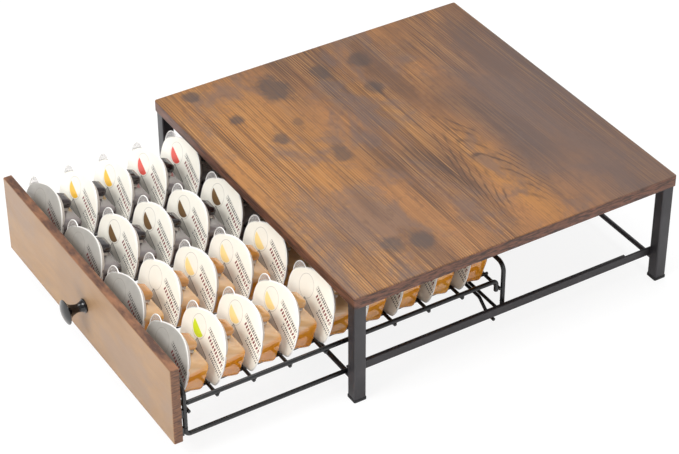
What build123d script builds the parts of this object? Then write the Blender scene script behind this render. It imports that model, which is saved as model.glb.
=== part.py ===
from build123d import *
from math import cos, radians, sin
import os

os.makedirs("parts", exist_ok=True)

# Board and stand
board_width = 380.0
board_depth = 362.0
board_thickness = 12.0
board_corner_radius = 2.5
board_edge_chamfer = 0.8
stand_height = 123.0
leg_size = 12.5
leg_wall = 1.2
leg_corner_radius = 1.6
leg_inset_side = 1.7
leg_inset_end = 1.1
foot_height = 3.0
foot_lip = 0.5
foot_corner = 1.0
foot_stem_height = 12.0
foot_clearance = 0.1
cross_bar_diameter = 5.0
cross_bar_height = 18.3

# Side rails: folded angle with its narrow flange on top, turned inward
rail_height = 9.0
rail_flange = 4.2
rail_thickness = 1.5
rail_bend_radius = 1.2
rail_bottom = 24.4
rail_end_inset = 1.0
rail_notch_length = 40.0

# Leg plates and their screws
plate_reach = 18.0
plate_width = 24.0
plate_thickness = 1.5
plate_corner = 5.0
board_screw_diameter = 3.5
board_screw_head_diameter = 7.0
board_screw_head_height = 2.2
board_screw_bite = 8.0

# Drawer front
front_width = 342.0
front_height = 84.4
front_thickness = 9.0
front_bottom = 20.0
front_edge_chamfer = 0.8
drawer_pull = 176.0

# Knob and its screw
knob_rise = 42.2
knob_collar_radius = 7.0
knob_collar_height = 1.8
knob_waist_radius = 4.3
knob_waist_height = 6.6
knob_flare_radius = 5.0
knob_flare_start = 12.0
knob_flare_bulge = 2.0
knob_head_radius = 12.2
knob_rim_thickness = 0.8
knob_dome_height = 3.0
knob_reach = 23.0
knob_screw_diameter = 4.0
knob_screw_bite = 11.0
knob_screw_head_diameter = 8.0
knob_screw_head_height = 2.6
knob_washer_diameter = 10.5
knob_washer_thickness = 1.0

# Wire basket
frame_wire = 4.5
thin_wire = 3.4
floor_wire = 3.0
wire_sides = 12
frame_half_width = 167.6
side_wire_rise = 39.4
hoop_rise = 56.0
hoop_bend = 9.0
runner_bend = 5.0
runner_turn_up = 9.0
side_wire_bend = 4.0
side_wire_drop = 12.0
row_count = 9
row_pitch = 37.36
first_row_margin = 9.14
last_row_margin = 9.22
row_wire_overhang = 1.6
column_count = 4
floor_wire_spacing = 40.0
sliding_gap = 0.3

# Stop wire under the basket
stop_wire_from_rear = 13.3
stop_wire_rise = 10.8
stop_wire_slope_run = 14.0
stop_wire_knee = 163.0
stop_wire_reach = 174.4
stop_wire_bend = 5.0

# Tabs that hold the basket to the drawer front
tab_thickness = 2.3
tab_length = 17.0
tab_height = 9.0
tab_screw_from_edge = 5.5
tab_low_rise = 9.5
tab_high_rise = 30.0
tab_screw_diameter = 3.2
tab_screw_head_diameter = 6.4
tab_screw_head_height = 1.9
tab_screw_bite = 6.0

# Capsules
capsule_lean = 20.0
lid_points = (
    (-26.5, 0.0),
    (26.5, 0.0),
    (35.0, 8.0),
    (38.0, 22.0),
    (36.6, 33.5),
    (31.0, 41.0),
    (-7.0, 55.5),
    (-23.0, 51.0),
    (-34.5, 38.5),
    (-38.0, 22.0),
    (-35.0, 8.0),
)
lid_thickness = 1.2
peel_tab_radius = 6.0
peel_tab_sides = 8
peel_tab_place = (12.0, 48.2)
capsule_set_back = 2.9
seat_gap = 0.3
tray_margin = 4.5
tray_depth = 6.0
tray_taper = 8.0
main_lobe_width = 60.0
main_lobe_height = 30.0
main_lobe_depth = 29.5
main_lobe_chamfer = 8.0
main_lobe_taper = 12.0
main_lobe_rise = 20.5
small_lobe_width = 27.0
small_lobe_height = 13.5
small_lobe_depth = 20.0
small_lobe_chamfer = 4.0
small_lobe_taper = 8.0
small_lobe_rise = 42.5
small_lobe_shift = 5.0
filled_rows = (6, 6, 6, 9)

screw_clearance = 0.1

# Places that follow from the sizes above
total_length = knob_reach + drawer_pull + board_depth
board_front_y = drawer_pull + knob_reach - total_length / 2
board_rear_y = board_front_y + board_depth
board_bottom = stand_height - board_thickness
leg_x = board_width / 2 - leg_inset_side - leg_size / 2
leg_inner_x = leg_x - leg_size / 2
front_leg_y = board_front_y + leg_inset_end + leg_size / 2
rear_leg_y = board_rear_y - leg_inset_end - leg_size / 2
front_y = board_front_y - drawer_pull
front_rear_y = front_y + front_thickness
frame_radius = frame_wire / 2
thin_radius = thin_wire / 2
runner_z = cross_bar_height + cross_bar_diameter / 2 + sliding_gap + frame_radius
front_post_y = front_rear_y + tab_thickness + frame_radius
basket_length = first_row_margin + row_count * row_pitch + last_row_margin
rear_post_y = front_y + basket_length
side_wire_z = front_bottom + side_wire_rise
hoop_z = front_bottom + hoop_rise
post_foot_z = runner_z + runner_turn_up
row_wire_z = side_wire_z - frame_radius - thin_radius
floor_wire_z = row_wire_z - thin_radius - floor_wire / 2
mid_wire_z = floor_wire_z - floor_wire / 2 - thin_radius
front_mid_wire_y = front_post_y + frame_radius + thin_radius
rear_mid_wire_y = rear_post_y - frame_radius - thin_radius
side_wire_end_y = rear_mid_wire_y - thin_radius - frame_radius
row_wire_places = [front_y + first_row_margin + row_pitch * n for n in range(1, row_count)]
column_pitch = 2 * frame_half_width / column_count
column_places = [column_pitch * (n + 0.5) - frame_half_width for n in range(column_count)]

# Board, with pilot holes for the leg screws
plate_x = leg_inner_x - plate_reach / 2
plate_shift = (plate_width - leg_size) / 2
plate_ys = (front_leg_y + plate_shift, rear_leg_y - plate_shift)
plate_places = [(side * plate_x, y) for side in (-1, 1) for y in plate_ys]
with BuildPart() as board:
    with BuildSketch(Plane.XY.offset(board_bottom)):
        with Locations((0, (board_front_y + board_rear_y) / 2)):
            RectangleRounded(board_width, board_depth, board_corner_radius)
    extrude(amount=board_thickness)
    chamfer(board.faces().sort_by(Axis.Z)[-1].edges(), board_edge_chamfer)
    with BuildSketch(Plane.XY.offset(board_bottom)):
        with Locations(*plate_places):
            Circle(board_screw_diameter / 2 + screw_clearance)
    extrude(amount=board_screw_bite + screw_clearance, mode=Mode.SUBTRACT)
board.part.label = "top_board"
export_step(board.part, "parts/top_board.step")

# Four square tube legs, open at both ends
leg_places = {
    "leg_front_left": (-leg_x, front_leg_y),
    "leg_front_right": (leg_x, front_leg_y),
    "leg_rear_left": (-leg_x, rear_leg_y),
    "leg_rear_right": (leg_x, rear_leg_y),
}
leg_bore = leg_size - 2 * leg_wall
for name, place in leg_places.items():
    with BuildPart() as leg:
        with BuildSketch(Plane.XY.offset(foot_height)):
            with Locations(place):
                RectangleRounded(leg_size, leg_size, leg_corner_radius)
                Rectangle(leg_bore, leg_bore, mode=Mode.SUBTRACT)
        extrude(amount=board_bottom - foot_height)
    leg.part.label = name
    export_step(leg.part, "parts/" + name + ".step")

# Plastic plugs: a lip under the tube and a stem inside it
stem_size = leg_bore - 2 * foot_clearance
with BuildPart() as foot_plugs:
    with BuildSketch() as foot_outline:
        with Locations(*leg_places.values()):
            Rectangle(leg_size + 2 * foot_lip, leg_size + 2 * foot_lip)
        chamfer(foot_outline.vertices(), foot_corner)
    extrude(amount=foot_height)
    with BuildSketch(Plane.XY.offset(foot_height)):
        with Locations(*leg_places.values()):
            Rectangle(stem_size, stem_size)
    extrude(amount=foot_stem_height)
foot_plugs.part.label = "foot_plugs"
export_step(foot_plugs.part, "parts/foot_plugs.step")

# Plates welded to the inner faces of the legs, against the board
with BuildPart() as leg_plates:
    with BuildSketch(Plane.XY.offset(board_bottom - plate_thickness)) as plate_outline:
        with Locations(*plate_places):
            Rectangle(plate_reach, plate_width)
        chamfer(plate_outline.vertices().filter_by(lambda corner: abs(corner.X) < plate_x), plate_corner)
        with Locations(*plate_places):
            Circle(board_screw_diameter / 2 + screw_clearance, mode=Mode.SUBTRACT)
    extrude(amount=plate_thickness)
leg_plates.part.label = "leg_plates"
export_step(leg_plates.part, "parts/leg_plates.step")

# Pan-head screws from below through the plates into the board
plate_bottom = board_bottom - plate_thickness
with BuildPart() as board_screws:
    with BuildSketch(Plane.XY.offset(plate_bottom - board_screw_head_height)):
        with Locations(*plate_places):
            Circle(board_screw_head_diameter / 2)
    extrude(amount=board_screw_head_height)
    with BuildSketch(Plane.XY.offset(plate_bottom)):
        with Locations(*plate_places):
            Circle(board_screw_diameter / 2)
    extrude(amount=plate_thickness + board_screw_bite)
board_screws.part.label = "board_screws"
export_step(board_screws.part, "parts/board_screws.step")

# Side rails: an angle whose upper flange stops short of the rear leg
rail_start_y = front_leg_y - leg_size / 2 + rail_end_inset
rail_end_y = rear_leg_y + leg_size / 2 - rail_end_inset
rail_top = rail_bottom + rail_height
for name, side in (("side_rail_left", -1), ("side_rail_right", 1)):
    outer_x = side * leg_inner_x
    with BuildPart() as rail:
        with BuildSketch(Plane.XZ.offset(-rail_end_y)):
            with BuildLine():
                Polyline(
                    (outer_x, rail_bottom),
                    (outer_x, rail_top),
                    (outer_x - side * rail_flange, rail_top),
                    (outer_x - side * rail_flange, rail_top - rail_thickness),
                    (outer_x - side * rail_thickness, rail_top - rail_thickness),
                    (outer_x - side * rail_thickness, rail_bottom),
                    close=True,
                )
            make_face()
        extrude(amount=rail_end_y - rail_start_y)
        fold_edge = rail.edges().filter_by(Axis.Y).sort_by(
            lambda edge: side * edge.center().X + edge.center().Z
        )[-1]
        fillet(fold_edge, rail_bend_radius)
        notch_x = outer_x - side * (rail_thickness + rail_flange) / 2
        with BuildSketch(Plane.XY.offset(rail_top - rail_thickness)):
            with Locations((notch_x, rail_end_y - rail_notch_length / 2)):
                Rectangle(rail_flange - rail_thickness, rail_notch_length)
        extrude(amount=rail_thickness, mode=Mode.SUBTRACT)
    rail.part.label = name
    export_step(rail.part, "parts/" + name + ".step")

# Round cross bars between the legs
for name, y in (("front_cross_bar", front_leg_y), ("rear_cross_bar", rear_leg_y)):
    with BuildPart() as cross_bar:
        with BuildSketch(Plane.YZ.offset(-leg_inner_x)):
            with Locations((y, cross_bar_height)):
                Circle(cross_bar_diameter / 2)
        extrude(amount=2 * leg_inner_x)
    cross_bar.part.label = name
    export_step(cross_bar.part, "parts/" + name + ".step")

# Drawer front with the bore for the knob screw and pilot holes for the tabs
knob_z = front_bottom + knob_rise
tab_outer_x = frame_half_width + frame_radius
tab_screw_x = tab_outer_x - tab_length + tab_screw_from_edge
tab_rises = (tab_low_rise, tab_high_rise)
tab_screw_places = [
    (side * tab_screw_x, front_bottom + rise) for side in (-1, 1) for rise in tab_rises
]
with BuildPart() as drawer_front:
    with BuildSketch(Plane.XZ.offset(-front_rear_y)):
        with Locations((0, front_bottom + front_height / 2)):
            Rectangle(front_width, front_height)
    extrude(amount=front_thickness)
    chamfer(drawer_front.faces().sort_by(Axis.Y)[0].edges(), front_edge_chamfer)
    with BuildSketch(Plane.XZ.offset(-front_rear_y)):
        with Locations((0, knob_z)):
            Circle(knob_screw_diameter / 2 + screw_clearance)
    extrude(amount=front_thickness, mode=Mode.SUBTRACT)
    with BuildSketch(Plane.XZ.offset(-front_rear_y)):
        with Locations(*tab_screw_places):
            Circle(tab_screw_diameter / 2 + screw_clearance)
    extrude(amount=tab_screw_bite + screw_clearance, mode=Mode.SUBTRACT)
drawer_front.part.label = "drawer_front"
export_step(drawer_front.part, "parts/drawer_front.step")

# Turned knob: collar, waist, flared head with a thin rim and a low dome
knob_plane = Plane(origin=(0, front_y, knob_z), x_dir=(1, 0, 0), z_dir=(0, 0, -1))
rim_place = knob_reach - knob_dome_height
flare_end = rim_place - knob_rim_thickness
flare_middle = (
    (knob_flare_radius + knob_head_radius - knob_flare_bulge) / 2,
    (knob_flare_start + flare_end + knob_flare_bulge) / 2,
)
dome_radius = (knob_head_radius**2 + knob_dome_height**2) / (2 * knob_dome_height)
dome_middle = (
    knob_head_radius / 2,
    knob_reach - dome_radius + (dome_radius**2 - knob_head_radius**2 / 4) ** 0.5,
)
with BuildPart() as knob:
    with BuildSketch(knob_plane):
        with BuildLine():
            base = Line((0, 0), (knob_collar_radius, 0))
            collar = Line(base @ 1, (knob_collar_radius, knob_collar_height))
            waist = ThreePointArc(
                collar @ 1,
                (knob_waist_radius, knob_waist_height),
                (knob_flare_radius, knob_flare_start),
            )
            flare = ThreePointArc(waist @ 1, flare_middle, (knob_head_radius, flare_end))
            rim = Line(flare @ 1, (knob_head_radius, rim_place))
            dome = ThreePointArc(rim @ 1, dome_middle, (0, knob_reach))
            Line(dome @ 1, base @ 0)
        make_face()
    revolve(axis=Axis((0, front_y, knob_z), (0, -1, 0)))
    with BuildSketch(Plane.XZ.offset(-front_y)):
        with Locations((0, knob_z)):
            Circle(knob_screw_diameter / 2 + screw_clearance)
    extrude(amount=knob_screw_bite + screw_clearance, mode=Mode.SUBTRACT)
knob.part.label = "knob"
export_step(knob.part, "parts/knob.step")

# Screw and washer that hold the knob from inside the drawer
washer_rear_y = front_rear_y + knob_washer_thickness
with BuildPart() as knob_screw:
    with BuildSketch(Plane.XZ.offset(-washer_rear_y)):
        with Locations((0, knob_z)):
            Circle(knob_washer_diameter / 2)
    extrude(amount=knob_washer_thickness)
    with BuildSketch(Plane.XZ.offset(-washer_rear_y - knob_screw_head_height)):
        with Locations((0, knob_z)):
            Circle(knob_screw_head_diameter / 2)
    extrude(amount=knob_screw_head_height)
    with BuildSketch(Plane.XZ.offset(-front_rear_y)):
        with Locations((0, knob_z)):
            Circle(knob_screw_diameter / 2)
    extrude(amount=front_thickness + knob_screw_bite)
knob_screw.part.label = "knob_screw"
export_step(knob_screw.part, "parts/knob_screw.step")

# Runners: the long lower wires, turned up at both ends to meet the posts
for name, side in (("runner_left", -1), ("runner_right", 1)):
    with BuildPart() as runner:
        with BuildLine(Plane.YZ.offset(side * frame_half_width)) as runner_path:
            FilletPolyline(
                (front_post_y, post_foot_z),
                (front_post_y, runner_z),
                (rear_post_y, runner_z),
                (rear_post_y, post_foot_z),
                radius=runner_bend,
            )
        with BuildSketch(Plane(origin=runner_path.line @ 0, z_dir=runner_path.line % 0)):
            RegularPolygon(frame_radius, wire_sides)
        sweep()
    runner.part.label = name
    export_step(runner.part, "parts/" + name + ".step")

# Hoops: wire arches at both ends, standing on the turned-up runner ends
for name, y in (("front_hoop", front_post_y), ("rear_hoop", rear_post_y)):
    with BuildPart() as hoop:
        with BuildLine(Plane.XZ.offset(-y)) as hoop_path:
            FilletPolyline(
                (-frame_half_width, post_foot_z),
                (-frame_half_width, hoop_z),
                (frame_half_width, hoop_z),
                (frame_half_width, post_foot_z),
                radius=hoop_bend,
            )
        with BuildSketch(Plane(origin=hoop_path.line @ 0, z_dir=hoop_path.line % 0)):
            RegularPolygon(frame_radius, wire_sides)
        sweep()
    hoop.part.label = name
    export_step(hoop.part, "parts/" + name + ".step")

# Upper side wires, bent down at the rear in front of the middle wire
for name, side in (("side_wire_left", -1), ("side_wire_right", 1)):
    with BuildPart() as side_wire:
        with BuildLine(Plane.YZ.offset(side * frame_half_width)) as side_path:
            FilletPolyline(
                (front_post_y + frame_radius, side_wire_z),
                (side_wire_end_y, side_wire_z),
                (side_wire_end_y, side_wire_z - side_wire_drop),
                radius=side_wire_bend,
            )
        with BuildSketch(Plane(origin=side_path.line @ 0, z_dir=side_path.line % 0)):
            RegularPolygon(frame_radius, wire_sides)
        sweep()
    side_wire.part.label = name
    export_step(side_wire.part, "parts/" + name + ".step")

# Row wires, welded under the side wires, one in front of each capsule row
row_wire_half = frame_half_width + row_wire_overhang
with BuildPart() as row_wires:
    with BuildSketch(Plane.YZ.offset(-row_wire_half)):
        with Locations(*[(y, row_wire_z) for y in row_wire_places]):
            RegularPolygon(thin_radius, wire_sides)
    extrude(amount=2 * row_wire_half)
row_wires.part.label = "row_wires"
export_step(row_wires.part, "parts/row_wires.step")

# Cross wires at the two ends: middle ones carry the floor wires
cross_wires = {
    "front_middle_wire": (front_mid_wire_y, mid_wire_z),
    "rear_middle_wire": (rear_mid_wire_y, mid_wire_z),
    "rear_lower_wire": (
        rear_post_y - runner_bend - thin_radius,
        runner_z + frame_radius + thin_radius,
    ),
}
for name, place in cross_wires.items():
    with BuildPart() as cross_wire:
        with BuildSketch(Plane.YZ.offset(-row_wire_half)):
            with Locations(place):
                RegularPolygon(thin_radius, wire_sides)
        extrude(amount=2 * row_wire_half)
    cross_wire.part.label = name
    export_step(cross_wire.part, "parts/" + name + ".step")

# Floor wires: two under each column, on which the capsules lie
floor_start_y = front_mid_wire_y - thin_radius
floor_end_y = rear_mid_wire_y + thin_radius
floor_wire_xs = [x + side * floor_wire_spacing / 2 for x in column_places for side in (-1, 1)]
with BuildPart() as floor_wires:
    with BuildSketch(Plane.XZ.offset(-floor_end_y)):
        with Locations(*[(x, floor_wire_z) for x in floor_wire_xs]):
            RegularPolygon(floor_wire / 2, wire_sides)
    extrude(amount=floor_end_y - floor_start_y)
floor_wires.part.label = "floor_wires"
export_step(floor_wires.part, "parts/floor_wires.step")

# Stop wire: its ends reach under the rails and meet the front cross bar
stop_wire_y = rear_post_y - stop_wire_from_rear
stop_low_z = runner_z - frame_radius - thin_radius
stop_high_z = stop_low_z + stop_wire_rise
stop_knee_top = stop_wire_knee - stop_wire_slope_run
with BuildPart() as stop_wire:
    with BuildLine(Plane.XZ.offset(-stop_wire_y)) as stop_path:
        FilletPolyline(
            (-stop_wire_reach, stop_low_z),
            (-stop_wire_knee, stop_low_z),
            (-stop_knee_top, stop_high_z),
            (stop_knee_top, stop_high_z),
            (stop_wire_knee, stop_low_z),
            (stop_wire_reach, stop_low_z),
            radius=stop_wire_bend,
        )
    with BuildSketch(Plane(origin=stop_path.line @ 0, z_dir=stop_path.line % 0)):
        RegularPolygon(thin_radius, wire_sides)
    sweep()
stop_wire.part.label = "stop_wire"
export_step(stop_wire.part, "parts/stop_wire.step")

# Flat tabs between the front posts and the drawer front
with BuildPart() as front_tabs:
    with BuildSketch(Plane.XZ.offset(-front_rear_y - tab_thickness)):
        for side in (-1, 1):
            tab_x = side * (tab_outer_x - tab_length / 2)
            with Locations(*[(tab_x, front_bottom + rise) for rise in tab_rises]):
                Rectangle(tab_length, tab_height)
        with Locations(*tab_screw_places):
            Circle(tab_screw_diameter / 2 + screw_clearance, mode=Mode.SUBTRACT)
    extrude(amount=tab_thickness)
front_tabs.part.label = "front_tabs"
export_step(front_tabs.part, "parts/front_tabs.step")

# Pan-head screws through the tabs into the drawer front
tab_rear_y = front_rear_y + tab_thickness
with BuildPart() as tab_screws:
    with BuildSketch(Plane.XZ.offset(-tab_rear_y - tab_screw_head_height)):
        with Locations(*tab_screw_places):
            Circle(tab_screw_head_diameter / 2)
    extrude(amount=tab_screw_head_height)
    with BuildSketch(Plane.XZ.offset(-tab_rear_y)):
        with Locations(*tab_screw_places):
            Circle(tab_screw_diameter / 2)
    extrude(amount=tab_thickness + tab_screw_bite)
tab_screws.part.label = "tab_screws"
export_step(tab_screws.part, "parts/tab_screws.step")

# Capsules lie on their tapered sides, so each lid leans back
lean = radians(capsule_lean)
lid_foot_z = floor_wire_z + floor_wire / 2 + seat_gap
row_lid_places = [
    front_y + first_row_margin + row_pitch * n + capsule_set_back for n in range(row_count)
]


def capsule_planes(column):
    """Planes of the lids in one column, facing back along the capsules."""
    return [
        Plane(
            origin=(column_places[column], y, lid_foot_z),
            x_dir=(-1, 0, 0),
            z_dir=(0, cos(lean), -sin(lean)),
        )
        for y in row_lid_places[: filled_rows[column]]
    ]


# Outlines seen from behind: the lid, and the two lobes that hold the drink
with BuildSketch() as lid_outline:
    with BuildLine():
        Polyline(*lid_points, close=True)
    make_face()
with BuildSketch() as main_lobe_outline:
    with Locations((0, main_lobe_rise)):
        Rectangle(main_lobe_width, main_lobe_height)
    chamfer(main_lobe_outline.vertices(), main_lobe_chamfer)
with BuildSketch() as small_lobe_outline:
    with Locations((small_lobe_shift, small_lobe_rise)):
        Rectangle(small_lobe_width, small_lobe_height)
    chamfer(small_lobe_outline.vertices(), small_lobe_chamfer)

# One capsule: a lid with its peel tab, and a cup with a shallow tray under two lobes
with BuildPart() as lid:
    with BuildSketch(Plane.XY.offset(-lid_thickness)):
        add(lid_outline.sketch_local)
        with Locations(peel_tab_place):
            RegularPolygon(peel_tab_radius, peel_tab_sides)
    extrude(amount=lid_thickness)
with BuildPart() as cup:
    with BuildSketch():
        offset(lid_outline.sketch_local, -tray_margin, kind=Kind.INTERSECTION)
    extrude(amount=tray_depth, taper=tray_taper)
    with BuildSketch():
        add(main_lobe_outline.sketch_local)
    extrude(amount=main_lobe_depth, taper=main_lobe_taper)
    with BuildSketch():
        add(small_lobe_outline.sketch_local)
    extrude(amount=small_lobe_depth, taper=small_lobe_taper)

for column in range(column_count):
    for piece, name in ((lid, "capsule_lids_column_"), (cup, "capsule_cups_column_")):
        with BuildPart() as group:
            with Locations(*capsule_planes(column)):
                add(piece.part)
        group.part.label = name + str(column + 1)
        export_step(group.part, "parts/" + group.part.label + ".step")
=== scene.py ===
import bpy
import bmesh
from math import cos, radians, sin, pi
from mathutils import Matrix, Vector


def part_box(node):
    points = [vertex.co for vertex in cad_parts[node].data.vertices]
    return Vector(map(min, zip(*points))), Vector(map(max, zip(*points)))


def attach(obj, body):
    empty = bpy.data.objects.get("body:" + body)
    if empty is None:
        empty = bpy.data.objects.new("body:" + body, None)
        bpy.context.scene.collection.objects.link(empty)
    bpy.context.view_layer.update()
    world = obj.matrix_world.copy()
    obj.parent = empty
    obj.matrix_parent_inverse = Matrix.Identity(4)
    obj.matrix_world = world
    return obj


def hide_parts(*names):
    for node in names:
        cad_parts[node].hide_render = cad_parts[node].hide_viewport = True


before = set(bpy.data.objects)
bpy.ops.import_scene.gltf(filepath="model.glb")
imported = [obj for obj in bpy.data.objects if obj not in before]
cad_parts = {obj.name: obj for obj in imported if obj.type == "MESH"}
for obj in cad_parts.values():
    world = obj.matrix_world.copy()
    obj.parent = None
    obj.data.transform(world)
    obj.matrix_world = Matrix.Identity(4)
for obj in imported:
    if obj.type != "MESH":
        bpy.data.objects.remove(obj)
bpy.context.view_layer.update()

# Places read from the frame, in metres
front_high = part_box("drawer_front")[1]
floor_low, floor_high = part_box("floor_wires")
row_low, row_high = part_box("row_wires")


def linear(red, green, blue):
    """A display colour from 0 to 255 as the linear colour that a shader takes."""
    parts = []
    for value in (red, green, blue):
        share = value / 255
        parts.append(share / 12.92 if share <= 0.04045 else ((share + 0.055) / 1.055) ** 2.4)
    return (*parts, 1.0)


def placed(name, data):
    """A new object in the collection of the scene."""
    thing = bpy.data.objects.new(name, data)
    bpy.context.collection.objects.link(thing)
    return thing


# Node helpers
class Nodes:
    """A new material and short calls that add and link its nodes."""

    def __init__(self, name):
        self.material = bpy.data.materials.new(name)
        self.material.use_nodes = True
        self.tree = self.material.node_tree
        self.tree.nodes.clear()
        self.output = self.tree.nodes.new("ShaderNodeOutputMaterial")

    def new(self, kind, inputs=None, **settings):
        node = self.tree.nodes.new(kind)
        for key, value in settings.items():
            setattr(node, key, value)
        for key, value in (inputs or {}).items():
            self.put(node.inputs[key], value)
        return node

    def put(self, socket, value):
        if isinstance(value, bpy.types.NodeSocket):
            self.tree.links.new(value, socket)
        else:
            socket.default_value = value

    def coords(self, kind="Object"):
        return self.new("ShaderNodeTexCoord").outputs[kind]

    def parts(self, vector):
        """The outputs X, Y and Z of a vector."""
        return self.new("ShaderNodeSeparateXYZ", {"Vector": vector}).outputs

    def noise(self, vector, scale, detail=3.0, roughness=0.5, distortion=0.0):
        inputs = {
            "Vector": vector, "Scale": scale, "Detail": detail, "Roughness": roughness,
            "Distortion": distortion,
        }
        return self.new("ShaderNodeTexNoise", inputs).outputs["Fac"]

    def drawn_noise(self, vector, scales, shift=(0, 0, 0), *settings):
        """Noise drawn out by a scale for each axis; settings are detail, roughness and distortion."""
        inputs = {"Vector": vector, "Scale": scales, "Location": shift}
        mapped = self.new("ShaderNodeMapping", inputs).outputs["Vector"]
        return self.noise(mapped, 1.0, *settings)

    def ramp(self, value, *stops):
        node = self.new("ShaderNodeValToRGB", {"Fac": value})
        elements = node.color_ramp.elements
        elements[0].position, elements[0].color = stops[0]
        elements[1].position, elements[1].color = stops[-1]
        for place, color in stops[1:-1]:
            elements.new(place).color = color
        return node.outputs["Color"]

    def steps(self, value, low, high):
        """Nought at low, one at high and a smooth change between them."""
        inputs = {"Value": value, "From Min": low, "From Max": high}
        return self.new("ShaderNodeMapRange", inputs, interpolation_type="SMOOTHSTEP").outputs["Result"]

    def between(self, value, low, high):
        """Low where the value is nought and high where it is one."""
        inputs = {"Value": value, "To Min": low, "To Max": high}
        return self.new("ShaderNodeMapRange", inputs).outputs["Result"]

    def math(self, operation, first, second=0.0, third=0.0):
        node = self.new("ShaderNodeMath", operation=operation)
        for socket, value in zip(node.inputs, (first, second, third)):
            self.put(socket, value)
        return node.outputs["Value"]

    def times(self, first, second):
        return self.math("MULTIPLY", first, second)

    def plus(self, first, second):
        return self.math("ADD", first, second)

    def stretched(self, value, scale, offset):
        return self.math("MULTIPLY_ADD", value, scale, offset)

    def off_middle(self, value, count):
        """How far the value is from the middle of its stripe, with count stripes in one metre."""
        return self.math("ABSOLUTE", self.plus(self.math("FRACT", self.times(value, count)), -0.5))

    def vector(self, operation, *values):
        node = self.new("ShaderNodeVectorMath", operation=operation)
        for socket, value in zip(node.inputs, values):
            self.put(socket, value)
        return node.outputs["Value" if operation == "LENGTH" else "Vector"]

    def mix(self, share, first, second):
        node = self.new("ShaderNodeMix", {"Factor": share, 6: first, 7: second}, data_type="RGBA")
        return node.outputs[2]

    def layer(self, base, mask, share, tone):
        """The base with a tone laid over it, as strongly as the mask times the share."""
        return self.mix(self.times(mask, share), base, tone)

    def bump(self, height, strength, distance):
        inputs = {"Strength": strength, "Distance": distance, "Height": height}
        return self.new("ShaderNodeBump", inputs).outputs["Normal"]

    def principled(self, **inputs):
        named = {key.replace("_", " "): value for key, value in inputs.items()}
        node = self.new("ShaderNodeBsdfPrincipled", named)
        self.tree.links.new(node.outputs["BSDF"], self.output.inputs["Surface"])
        return node


# Wood, with lengths in metres; the warp moves a point aside by a share of WARP
WARP = (0, 0.007, 0.003)
SHADE_SHIFT = 0.004
KNOT_SHIFT = 0.006
KNOT_DEPTH = 0.85
FIGURE_DEPTH = 0.65
PATCH_DEPTH = 0.62
LINE_PITCH = 0.0025
RIPPLE = 0.034
FIGURE_EDGE = 0.004
ELLIPSE_EDGE = (1.25, 0.55)
LINE_EDGE = (0.24, 0.04)


def ellipses(n, base, place, marks, ragged, tone, shift=0.0, depth=1.0):
    """Uneven ellipses of a tone on the base; a mark is x, y, half length, half width and strength."""
    for x, y, length, width, strength in marks:
        offset = n.vector("SUBTRACT", place, (x, y + shift, 0.0))
        reach = n.vector("LENGTH", n.vector("MULTIPLY", offset, (1 / length, 1 / width, 0)))
        inside = n.steps(n.plus(reach, ragged), *ELLIPSE_EDGE)
        base = n.layer(base, inside, depth * strength, tone)
    return base


def arched_figure(n, place, x, y, length, spread, rings):
    """Nested arches of grain that start at a point and open along X."""
    axes = n.parts(place)
    along = n.plus(axes["X"], -x)
    aside = n.plus(axes["Y"], -y)
    bend = n.times(n.times(aside, aside), 1 / spread)
    ripple = n.drawn_noise(place, (16, 46, 46), (0, 0, 0), 4.0, 0.6)
    straight = n.math("SUBTRACT", n.math("SUBTRACT", along, bend), RIPPLE / 2)
    reach = n.stretched(ripple, RIPPLE, straight)
    drawn = n.steps(n.off_middle(reach, rings), 0.2, 0.04)
    started = n.steps(reach, -FIGURE_EDGE, FIGURE_EDGE)
    inside = n.times(started, n.steps(along, length, length * 0.7))
    broken = n.steps(n.drawn_noise(place, (22, 40, 40), (3, 0, 0)), 0.36, 0.6)
    return n.times(n.times(drawn, inside), broken)


def fine_grain(n, base, place, warped, fine, seed, axis, lines, tones):
    """Light, ruled and dark lines along X, stronger in some zones than in others."""
    line_light, line_dark = tones
    zone = n.steps(n.drawn_noise(place, (6, 14, 14), (0, 0, seed)), 0.40, 0.6)
    aside = n.parts(warped)["Y" if axis == "Z" else "Z"]
    ruled = n.steps(n.off_middle(aside, 1 / LINE_PITCH), *LINE_EDGE)
    for mask, scale, offset, tone in (
        (n.steps(fine, 0.53, 0.60), 0.36, 0.08, line_light),
        (ruled, 0.50, 0.14, line_dark),
        (n.steps(fine, 0.48, 0.40), 0.42, 0.2, line_dark),
    ):
        base = n.layer(base, n.times(mask, n.stretched(zone, scale, offset)), lines, tone)
    return base


def face_share(n, axis):
    """One on the broad faces, which look along the axis, and nought on the narrow edges."""
    normal = n.new("ShaderNodeNewGeometry").outputs["True Normal"]
    return n.steps(n.math("ABSOLUTE", n.parts(normal)[axis]), 0.55, 0.8)


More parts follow.
